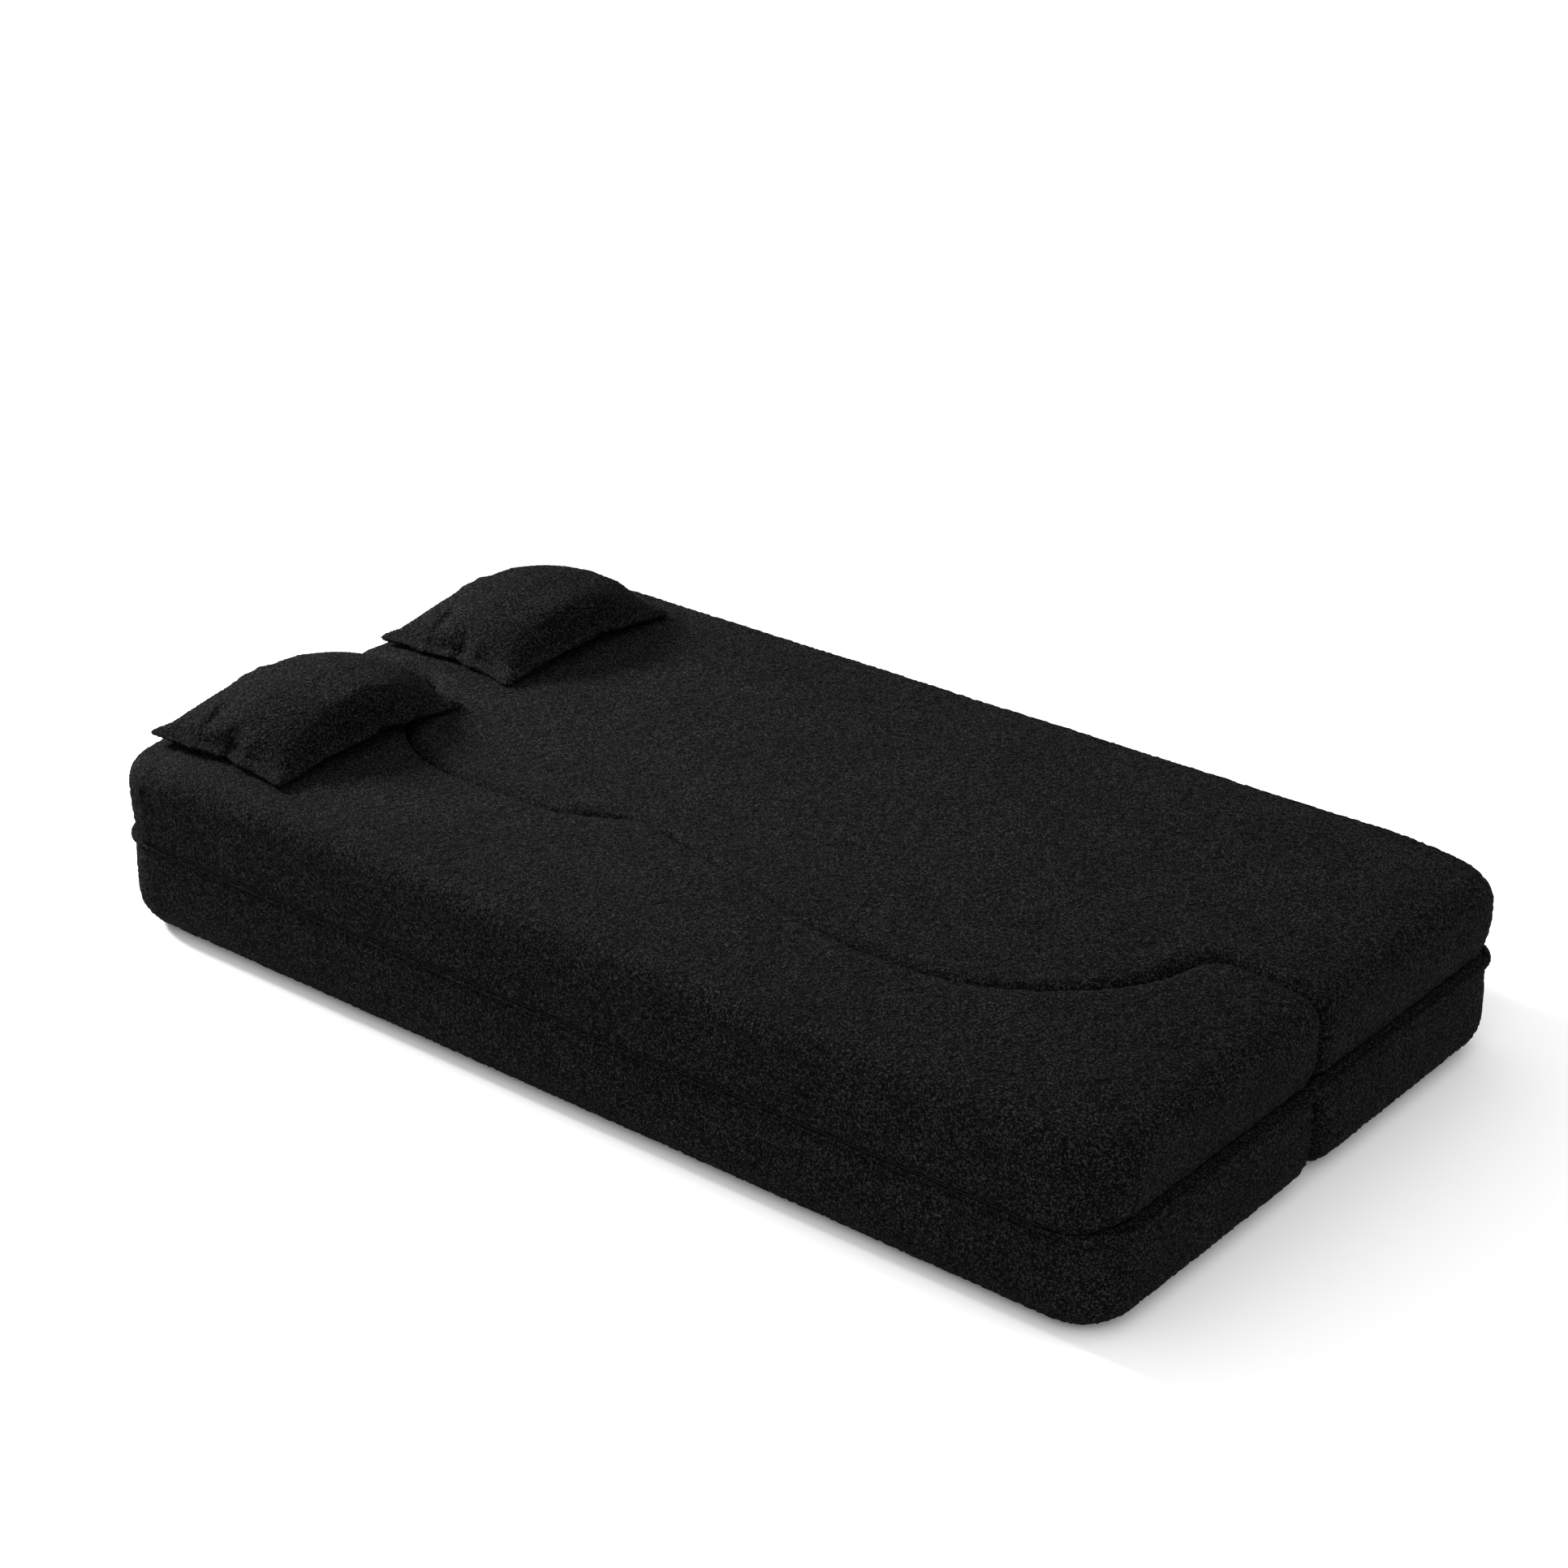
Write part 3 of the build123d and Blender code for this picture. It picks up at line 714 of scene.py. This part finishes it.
def add_node(tree, kind, values=None, **settings):
    """A new node with these settings and input values."""
    node = tree.nodes.new(kind)
    for key, value in settings.items():
        setattr(node, key, value)
    for key, value in (values or {}).items():
        node.inputs[key].default_value = value
    return node


def add_bump(tree, shader, height, strength, distance):
    """Raises a material's surface by a height value."""
    bump = add_node(tree, "ShaderNodeBump", {"Strength": strength, "Distance": distance})
    tree.links.new(height, bump.inputs["Height"])
    tree.links.new(bump.outputs["Normal"], shader.inputs["Normal"])


def loops_group():
    """Node group of a looped pile: the height of its loops, and a mask of painted light that is bright on
    the loops' tops and gives painted shade in the hollows.
    """
    group = bpy.data.node_groups.get("Looped pile")
    if group:
        return group
    group = bpy.data.node_groups.new("Looped pile", "ShaderNodeTree")
    for name, way, kind in (("Vector", "INPUT", "Vector"), ("Loops per metre", "INPUT", "Float"),
                            ("Height", "OUTPUT", "Float"), ("Painted light", "OUTPUT", "Float")):
        group.interface.new_socket(name, in_out=way, socket_type=f"NodeSocket{kind}")
    link = group.links.new
    inputs = group.nodes.new("NodeGroupInput")
    outputs = group.nodes.new("NodeGroupOutput")
    curls = add_node(group, "ShaderNodeTexNoise", {"Detail": 3, "Roughness": 0.62, "Distortion": 0.7})
    bent = add_node(group, "ShaderNodeVectorMath", {1: (LOOP_BEND,) * 3}, operation="MULTIPLY_ADD")
    nubs = add_node(group, "ShaderNodeTexVoronoi", {"Smoothness": 0.35}, feature="SMOOTH_F1")
    nub_depth = add_node(group, "ShaderNodeMath", {1: 0.35}, operation="MULTIPLY")
    height = add_node(group, "ShaderNodeMath", operation="SUBTRACT")
    # Painted light: 0 in the hollows and 1 on the loops' tops; it mixes painted shade into the colour
    painted_light = add_node(group, "ShaderNodeMapRange", {"From Min": 0.27, "From Max": 0.58},
                     interpolation_type="SMOOTHSTEP")
    link(inputs.outputs["Vector"], curls.inputs["Vector"])
    link(inputs.outputs["Loops per metre"], curls.inputs["Scale"])
    link(curls.outputs["Color"], bent.inputs[0])
    link(inputs.outputs["Vector"], bent.inputs[2])
    link(bent.outputs[0], nubs.inputs["Vector"])
    link(inputs.outputs["Loops per metre"], nubs.inputs["Scale"])
    link(nubs.outputs["Distance"], nub_depth.inputs[0])
    link(curls.outputs["Fac"], height.inputs[0])
    link(nub_depth.outputs[0], height.inputs[1])
    link(height.outputs[0], painted_light.inputs["Value"])
    link(height.outputs[0], outputs.inputs["Height"])
    link(painted_light.outputs["Result"], outputs.inputs["Painted light"])
    return group


def boucle_material(name, colours):
    """Black looped bouclé: curls in the pile's own black over hollows darkened with painted shade."""
    found = bpy.data.materials.get(name)
    if found:
        return found
    material, tree, shader = new_material(name)
    link, coordinates = tree.links.new, own_coordinates(tree)
    pile = add_node(tree, "ShaderNodeGroup", node_tree=loops_group())
    pile.inputs["Loops per metre"].default_value = LOOPS_PER_METRE
    patches = add_node(tree, "ShaderNodeTexNoise", {"Scale": 11, "Detail": 3})
    tone = add_node(tree, "ShaderNodeMapRange",
                    {"From Min": 0.3, "From Max": 0.7, "To Min": 0.85, "To Max": 1.15})
    mix = add_node(tree, "ShaderNodeMix", data_type="RGBA")
    # The hollows' colour is painted shade; the pile's colour is the cloth's own black
    mix.inputs["A"].default_value = (*colours.painted_hollow_shade, 1)
    mix.inputs["B"].default_value = (*colours.pile, 1)
    shade = add_node(tree, "ShaderNodeVectorMath", operation="SCALE")
    link(coordinates, pile.inputs["Vector"])
    link(coordinates, patches.inputs["Vector"])
    link(patches.outputs["Fac"], tone.inputs["Value"])
    link(pile.outputs["Painted light"], mix.inputs["Factor"])
    link(mix.outputs["Result"], shade.inputs[0])
    link(tone.outputs["Result"], shade.inputs["Scale"])
    link(shade.outputs[0], shader.inputs["Base Color"])
    add_bump(tree, shader, pile.outputs["Height"], 1.0, LOOP_HEIGHT)
    shader.inputs["Roughness"].default_value = 0.9
    shader.inputs["Specular IOR Level"].default_value = 0.03
    return material


def woven_material(name, colour, fineness, raise_by=WEAVE_HEIGHT):
    """Plain weave: crossing threads with a slight change of tone."""
    found = bpy.data.materials.get(name)
    if found:
        return found
    material, tree, shader = new_material(name)
    link, coordinates = tree.links.new, own_coordinates(tree)
    weave = add_node(tree, "ShaderNodeMath", operation="MULTIPLY")
    for index, direction in enumerate(("X", "Y")):
        wave = add_node(tree, "ShaderNodeTexWave", {"Scale": fineness, "Distortion": 1.5, "Detail": 1},
                        bands_direction=direction)
        link(coordinates, wave.inputs["Vector"])
        link(wave.outputs["Fac"], weave.inputs[index])
    tone = add_node(tree, "ShaderNodeMix", data_type="RGBA")
    tone.inputs["A"].default_value = (*[c * 0.55 for c in colour], 1)
    tone.inputs["B"].default_value = (*[c * 1.3 for c in colour], 1)
    link(weave.outputs[0], tone.inputs["Factor"])
    link(tone.outputs["Result"], shader.inputs["Base Color"])
    add_bump(tree, shader, weave.outputs[0], 0.7, raise_by)
    shader.inputs["Roughness"].default_value = 0.85
    shader.inputs["Specular IOR Level"].default_value = 0.2
    return material


def grip_material(colours):
    """Woven cloth with rows of small rubber dots."""
    material = woven_material("black_grip_cloth", colours.lining, FINENESS["grip cloth"])
    tree = material.node_tree
    link = tree.links.new
    dots = add_node(tree, "ShaderNodeTexVoronoi", {"Scale": 70, "Randomness": 0})
    rubber = add_node(tree, "ShaderNodeMapRange", {"From Min": 0.62, "From Max": 0.56})
    gloss = add_node(tree, "ShaderNodeMapRange", {"To Min": 0.85, "To Max": 0.4})
    link(own_coordinates(tree), dots.inputs["Vector"])
    link(dots.outputs["Distance"], rubber.inputs["Value"])
    link(rubber.outputs["Result"], gloss.inputs["Value"])
    link(gloss.outputs["Result"], tree.nodes["Principled BSDF"].inputs["Roughness"])
    return material


def lacquer_material(colours):
    """Black lacquered zip metal with fine scuffs."""
    material, tree, shader = new_material("black_zip_lacquer")
    link = tree.links.new
    scuffs = add_node(tree, "ShaderNodeTexNoise", {"Scale": 900, "Detail": 4})
    gloss = add_node(tree, "ShaderNodeMapRange", {"To Min": 0.25, "To Max": 0.5})
    link(own_coordinates(tree), scuffs.inputs["Vector"])
    link(scuffs.outputs["Fac"], gloss.inputs["Value"])
    link(gloss.outputs["Result"], shader.inputs["Roughness"])
    shader.inputs["Base Color"].default_value = (*colours.metal, 1)
    shader.inputs["Metallic"].default_value = 0.6
    return material


# Operators

class FUTON_OT_upper_cushions(bpy.types.Operator):
    """Makes the two upper cushions that meet along the wavy line"""
    bl_idname = "futon.upper_cushions"
    bl_label = "Upper cushions"

    def execute(self, context):
        cushion = context.scene.futon_cushion
        material = boucle_material("black_boucle", context.scene.futon_colour)
        for seed, side in enumerate(SIDES):
            obj = node_copy(f"{side}_upper_foam", f"{side}_upper_cushion")
            remesh(obj, cushion.voxel)
            normals = normals_of(obj.data)
            points = points_of(obj.data) + normals * COVER_WALL
            close_wave(points, normals, cushion, LIP_SHARPNESS[side])
            square_split(points, SIDES[side], UPPER_SPLIT_ROUND, UPPER_SPLIT_SQUARENESS[side])
            roll_top(points, cushion)
            bulge_walls(points, cushion, UPPER_BOTTOM, UPPER_TOP)
            open_groove(points, cushion)
            square_edge(points, cushion, UPPER_BOTTOM, cushion.groove, sewn_side)
            pad_out(obj, points, cushion, seed + SEEDS["upper waves"],
                    smoothstep(UPPER_BOTTOM, UPPER_BOTTOM + WAVE_FADE, points[:, 2]))
            sink_zip(points, cushion, f"{side}_upper_zip")
            sink_panel(points, cushion, f"{side}_lining_panel", UPPER_BOTTOM)
            set_points(obj.data, points)
            add_pile(obj, cushion.pile, seed + SEEDS["upper pile"])
            finish_piece(obj, f"{side}_upper_cushion", BODY_OF[f"{side}_upper_cover"], material,
                         "boucle_fabric", f"{side}_upper_cover", f"{side}_upper_foam")
        return {"FINISHED"}


class FUTON_OT_lower_cushions(bpy.types.Operator):
    """Makes the two lower cushions that lie side by side on the floor"""
    bl_idname = "futon.lower_cushions"
    bl_label = "Lower cushions"

    def execute(self, context):
        cushion = context.scene.futon_cushion
        material = boucle_material("black_boucle", context.scene.futon_colour)
        for seed, side in enumerate(SIDES):
            obj = node_copy(f"{side}_lower_foam", f"{side}_lower_cushion")
            remesh(obj, cushion.voxel)
            points = points_of(obj.data) + normals_of(obj.data) * COVER_WALL
            square_split(points, SIDES[side], LOWER_SPLIT_ROUND, LOWER_SPLIT_SQUARENESS)
            square_edge(points, cushion, LOWER_TOP, cushion.ledge, np.ones_like)
            bulge_walls(points, cushion, 0.0, LOWER_TOP)
            pad_out(obj, points, cushion, seed + SEEDS["lower waves"],
                    smoothstep(0.0, WAVE_FADE, points[:, 2])
                    * smoothstep(LOWER_TOP, LOWER_TOP - WALL_DEPTH, points[:, 2]))
            sink_zip(points, cushion, f"{side}_lower_zip")
            sink_panel(points, cushion, f"{side}_grip_panel", 0.0)
            set_points(obj.data, points)
            add_pile(obj, cushion.pile, seed + SEEDS["lower pile"])
            points = points_of(obj.data)
            points[:, 2] = np.clip(points[:, 2], FLOOR_CLEARANCE, LOWER_TOP)
            set_points(obj.data, points)
            finish_piece(obj, f"{side}_lower_cushion", "base", material, "boucle_fabric",
                         f"{side}_lower_cover", f"{side}_lower_foam")
        return {"FINISHED"}


class FUTON_OT_edge_welt(bpy.types.Operator):
    """Makes the welt round the sheet's edge, full at the ends and drawn in along the sides"""
    bl_idname = "futon.edge_welt"
    bl_label = "Edge welt"

    def execute(self, context):
        cushion = context.scene.futon_cushion
        obj = node_copy("edge_welt", "edge_welt_roll")
        remesh(obj, WELT_VOXEL)
        points = points_of(obj.data)
        inside, out = outline(points, cushion.corner)
        side = sewn_side(np.abs(out[:, 1]))
        turn = (2 * np.abs(out[:, 0] * out[:, 1])) ** 2
        keep = 1 - WELT_FLATTENING * side + turn
        shift = -(WELT_SETBACK + cushion.side_back) * side
        points[:, :2] += out * ((inside + WELT_OFFSET) * (1 - keep) + shift)[:, None]
        points[:, 2] = JOINT_HEIGHT + (points[:, 2] - JOINT_HEIGHT) * keep
        set_points(obj.data, points)
        add_facing(obj, cushion)
        add_pile(obj, WELT_PILE, SEEDS["welt pile"])
        finish_piece(obj, "edge_welt_roll", "base",
                     boucle_material("black_boucle", context.scene.futon_colour),
                     "boucle_fabric", "edge_welt")
        return {"FINISHED"}


class FUTON_OT_pillows(bpy.types.Operator):
    """Fills the two loose pillows and lays them at the head"""
    bl_idname = "futon.pillows"
    bl_label = "Pillows"

    def execute(self, context):
        pillow = context.scene.futon_pillow
        cushion = context.scene.futon_cushion
        material = boucle_material("black_boucle", context.scene.futon_colour)
        for seed, side in enumerate(SIDES):
            low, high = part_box(f"{side}_pillow_cover")
            middle = (low + high) / 2
            half = np.array([(high.x - low.x) / 2, (high.y - low.y) / 2]) - pillow.flange
            obj, seam, share = filled_slab(pillow, half)
            points = points_of(obj.data)
            seam[:, 2] = 0
            raise_crown(points, share, pillow)
            set_points(obj.data, points)
            apply_modifier(obj, "SMOOTH", factor=0.5, iterations=pillow.ironing)
            add_flange(obj, seam, pillow, seed + SEEDS["flange"])
            remesh(obj, pillow.voxel)
            apply_modifier(obj, "SMOOTH", factor=0.5, iterations=3)
            points = points_of(obj.data)
            slump(points, half, pillow)
            points += np.array([middle.x, middle.y, low.z + pillow.under])
            set_points(obj.data, points)
            add_pile(obj, cushion.pile, seed + SEEDS["pillow pile"])
            points = points_of(obj.data)
            points[:, 2] = np.maximum(points[:, 2], bed_height(points, cushion) + cushion.pile)
            set_points(obj.data, points)
            finish_piece(obj, f"{side}_pillow_soft", BODY_OF[f"{side}_pillow_cover"], material,
                         "boucle_fabric", f"{side}_pillow_cover", f"{side}_pillow_filling")
        return {"FINISHED"}


class FUTON_OT_hinge_tapes(bpy.types.Operator):
    """Makes the two woven tapes that fold round the welt"""
    bl_idname = "futon.hinge_tapes"
    bl_label = "Hinge tapes"

    def execute(self, context):
        material = woven_material("black_tape", context.scene.futon_colour.lining, FINENESS["hinge tape"])
        axis = HALF_WIDTH + WELT_OFFSET - context.scene.futon_cushion.side_back
        ring = WELT_RADIUS + TAPE_CLEARANCE
        for side, sign in SIDES.items():
            obj = new_grid(columns=160, rows=6)
            points = points_of(obj.data)
            angle = np.radians(TAPE_MIDDLE + TAPE_REACH * points[:, 1] * sign)
            points[:, 0] *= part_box(f"{side}_hinge_tape")[1].x
            points[:, 1] = sign * (axis - ring * np.cos(angle))
            points[:, 2] = JOINT_HEIGHT + ring * np.sin(angle)
            set_points(obj.data, points)
            apply_modifier(obj, "SOLIDIFY", thickness=TAPE_THICKNESS, offset=0)
            bpy.ops.object.shade_smooth_by_angle(angle=CREASE_ANGLE)
            finish_piece(obj, f"{side}_hinge_tape_woven", BODY_OF[f"{side}_hinge_tape"], material,
                         "lining_cloth", f"{side}_hinge_tape")
        return {"FINISHED"}


class FUTON_OT_hinge_sheet(bpy.types.Operator):
    """Lays the lining sheet between the two layers"""
    bl_idname = "futon.hinge_sheet"
    bl_label = "Hinge sheet"

    def execute(self, context):
        low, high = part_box("hinge_sheet")
        corner = context.scene.futon_cushion.corner - (HALF_LENGTH - high.x)
        obj = new_grid(columns=120, rows=68)
        points = points_of(obj.data) * np.array([high.x, high.y, 0])
        over = np.maximum(np.abs(points[:, :2]) - (np.array([high.x, high.y]) - corner), 0)
        length = np.hypot(over[:, 0], over[:, 1])
        pull = np.where(length > corner, 1 - corner / np.maximum(length, corner), 0)
        points[:, :2] -= np.sign(points[:, :2]) * over * pull[:, None]
        ripple = SHEET_RIPPLE * soft_waves(points, SHEET_RIPPLE_SIZE, SEEDS["sheet"])
        points[:, 2] = (low.z + high.z) / 2 + ripple
        set_points(obj.data, points)
        apply_modifier(obj, "SOLIDIFY", thickness=SHEET_THICKNESS, offset=0)
        bpy.ops.object.shade_smooth_by_angle(angle=CREASE_ANGLE)
        finish_piece(obj, "hinge_sheet_cloth", "base",
                     woven_material("black_lining", context.scene.futon_colour.lining, FINENESS["lining"]),
                     "lining_cloth", "hinge_sheet")
        return {"FINISHED"}


class FUTON_OT_panels(bpy.types.Operator):
    """Lets the plain panels into the undersides of the four cushions"""
    bl_idname = "futon.panels"
    bl_label = "Underside panels"

    def execute(self, context):
        colours = context.scene.futon_colour
        lining = woven_material("black_lining", colours.lining, FINENESS["lining"])
        cloths = {"grip": (grip_material(colours), "grip_cloth"), "lining": (lining, "lining_cloth")}
        for side in SIDES:
            for kind, (material, slot) in cloths.items():
                node = f"{side}_{kind}_panel"
                obj = node_copy(node, node)
                bpy.ops.object.mode_set(mode="EDIT")
                bpy.ops.mesh.dissolve_limited(angle_limit=PANEL_FLAT_ANGLE)
                bpy.ops.mesh.select_all(action="DESELECT")
                bpy.ops.object.mode_set(mode="OBJECT")
                for face in obj.data.polygons:
                    face.select = face.normal.z < DOWNWARD
                bpy.ops.object.mode_set(mode="EDIT")
                bpy.ops.mesh.select_mode(type="FACE")
                for width, depth in PANEL_SEAM:
                    bpy.ops.mesh.inset(thickness=width, depth=depth)
                bpy.ops.object.mode_set(mode="OBJECT")
                bpy.ops.object.shade_smooth_by_angle(angle=PANEL_CREASE_ANGLE)
                finish_piece(obj, f"{node}_cloth", BODY_OF[node], material, slot, node)
        return {"FINISHED"}


class FUTON_OT_zips(bpy.types.Operator):
    """Makes the four zips: woven tape with stitches, and the coil's teeth"""
    bl_idname = "futon.zips"
    bl_label = "Zips"

    def execute(self, context):
        colours = context.scene.futon_colour
        tape_cloth = woven_material("black_zip_tape", colours.lining, FINENESS["zip tape"], ZIP_WEAVE_HEIGHT)
        lacquer = lacquer_material(colours)
        for node in ZIPS:
            low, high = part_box(node)
            middle = (low + high) / 2
            tape_front = high.x - ZIP_TAPE_DEPTH
            tape = zip_tape(middle, (high - low) / 2, tape_front)
            finish_piece(tape, f"{node}_tape", BODY_OF[node], tape_cloth, "zip_tape", node)
            coil = zip_coil(middle, high.y - low.y, tape_front, low.x)
            finish_piece(coil, f"{node}_coil", BODY_OF[node], lacquer, "zip_tape")
            for part in ("slider", "pull"):
                mesh = frame["nodes"][f"{node}_{part}"].data
                mesh.materials.clear()
                mesh.materials.append(lacquer)
        return {"FINISHED"}


class FUTON_OT_stage(bpy.types.Operator):
    """Sets up the floor, the light and the camera"""
    bl_idname = "futon.stage"
    bl_label = "Stage"

    def execute(self, context):
        stage = context.scene.futon_stage
        bpy.ops.object.select_all(action="DESELECT")
        bpy.ops.mesh.primitive_plane_add(size=FLOOR_SIZE)
        floor = context.active_object
        floor.name = "studio_floor"
        material, _, shader = new_material("studio_floor")
        shader.inputs["Base Color"].default_value = (*context.scene.futon_colour.floor, 1)
        shader.inputs["Roughness"].default_value = 0.9
        shader.inputs["Specular IOR Level"].default_value = 0.0
        floor.data.materials.append(material)

        world = context.scene.world or bpy.data.worlds.new("studio")
        context.scene.world = world
        world.use_nodes = True
        background = world.node_tree.nodes["Background"]
        background.inputs["Color"].default_value = (1, 1, 1, 1)
        background.inputs["Strength"].default_value = stage.sky
        context.scene.view_settings.view_transform = "Standard"

        lights = (("head_beam", stage.key, 0.8, stage.spread, (-3.9, -0.45, 1.8), (-0.1, 0.15, 0.3)),
                  ("foot_fill", stage.fill, 3.0, math.pi, (2.5, -2.5, 2.8), (-0.3, 0.0, 0.25)))
        for name, power, size, spread, place, aim in lights:
            light = bpy.data.lights.new(name, "AREA")
            light.energy = power
            light.shape = "DISK"
            light.size = size
            light.spread = spread
            holder = bpy.data.objects.new(name, light)
            holder.location = place
            holder.rotation_euler = (Vector(place) - Vector(aim)).to_track_quat("Z", "Y").to_euler()
            holder.visible_camera = False
            context.collection.objects.link(holder)

        camera = bpy.data.cameras.new("photo_camera")
        camera.sensor_width = SENSOR_WIDTH
        camera.lens = stage.lens
        a, e = stage.azimuth, stage.elevation
        back = Vector((math.sin(a) * math.cos(e), -math.cos(a) * math.cos(e), math.sin(e)))
        right = Vector((math.cos(a), math.sin(a), 0))
        up = back.cross(right)
        holder = bpy.data.objects.new("photo_camera", camera)
        turn = Matrix((right, up, back)).transposed().to_4x4()
        holder.matrix_world = Matrix.Translation(Vector(stage.target) + back * stage.distance) @ turn
        context.collection.objects.link(holder)
        context.scene.camera = holder
        return {"FINISHED"}


class FUTON_PT_panel(bpy.types.Panel):
    """Lists the steps that dress the futon"""
    bl_idname = "FUTON_PT_panel"
    bl_label = "Futon"
    bl_space_type = "VIEW_3D"
    bl_region_type = "UI"
    bl_category = "Futon"

    def draw(self, context):
        for operator in OPERATORS:
            self.layout.operator(operator.bl_idname)


SETTINGS = {
    "futon_cushion": FutonCushionSettings,
    "futon_pillow": FutonPillowSettings,
    "futon_colour": FutonColourSettings,
    "futon_stage": FutonStageSettings,
}
OPERATORS = (
    FUTON_OT_stage,
    FUTON_OT_upper_cushions,
    FUTON_OT_lower_cushions,
    FUTON_OT_edge_welt,
    FUTON_OT_hinge_tapes,
    FUTON_OT_hinge_sheet,
    FUTON_OT_panels,
    FUTON_OT_pillows,
    FUTON_OT_zips,
)


def register():
    """Registers the settings, the operators and the panel."""
    for name, settings in SETTINGS.items():
        bpy.utils.register_class(settings)
        setattr(bpy.types.Scene, name, PointerProperty(type=settings))
    for operator in OPERATORS:
        bpy.utils.register_class(operator)
    bpy.utils.register_class(FUTON_PT_panel)


def unregister():
    """Takes the panel, the operators and the settings out again."""
    bpy.utils.unregister_class(FUTON_PT_panel)
    for operator in reversed(OPERATORS):
        bpy.utils.unregister_class(operator)
    for name, settings in SETTINGS.items():
        delattr(bpy.types.Scene, name)
        bpy.utils.unregister_class(settings)


def main():
    """Dresses the frame step by step."""
    register()
    for operator in OPERATORS:
        group, step = operator.bl_idname.split(".")
        getattr(getattr(bpy.ops, group), step)()


if __name__ == "__main__":
    main()
